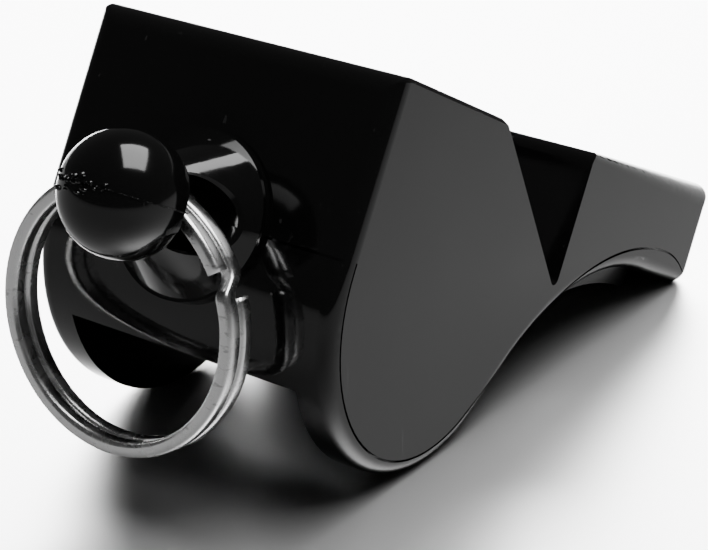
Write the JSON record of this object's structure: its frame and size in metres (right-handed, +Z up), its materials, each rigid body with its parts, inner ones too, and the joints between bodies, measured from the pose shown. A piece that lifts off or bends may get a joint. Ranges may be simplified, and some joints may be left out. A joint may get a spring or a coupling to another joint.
{
  "type": "training whistle",
  "caption": "Pealess training whistle: two welded plastic shells with side windows, a flat mouthpiece and a ball lug that carries a steel split ring.",
  "frame": {"origin": "centre of the whistle's box, on the surface it lies on", "axes": "+X towards the mouthpiece, which rests nose-down, +Y to the whistle's left side, +Z up from the surface"},
  "size_m": [0.0554, 0.021, 0.0252],
  "materials": {
    "shell_black": "gloss black injection-moulded ABS",
    "ring_steel": "nickel-plated spring steel, lightly scratched"
  },
  "bodies": {
    "whistle": {"upper_shell": "shell_black", "lower_shell": "shell_black"},
    "ring": {"split_ring": "ring_steel"}
  },
  "joints": [
    {"name": "ring_swing", "type": "hinge", "parent": "whistle", "child": "ring", "pos_m": [-0.02128, 0, 0.01799], "axis": [0, 1, 0], "range_deg": [-5, 211]}
  ]
}
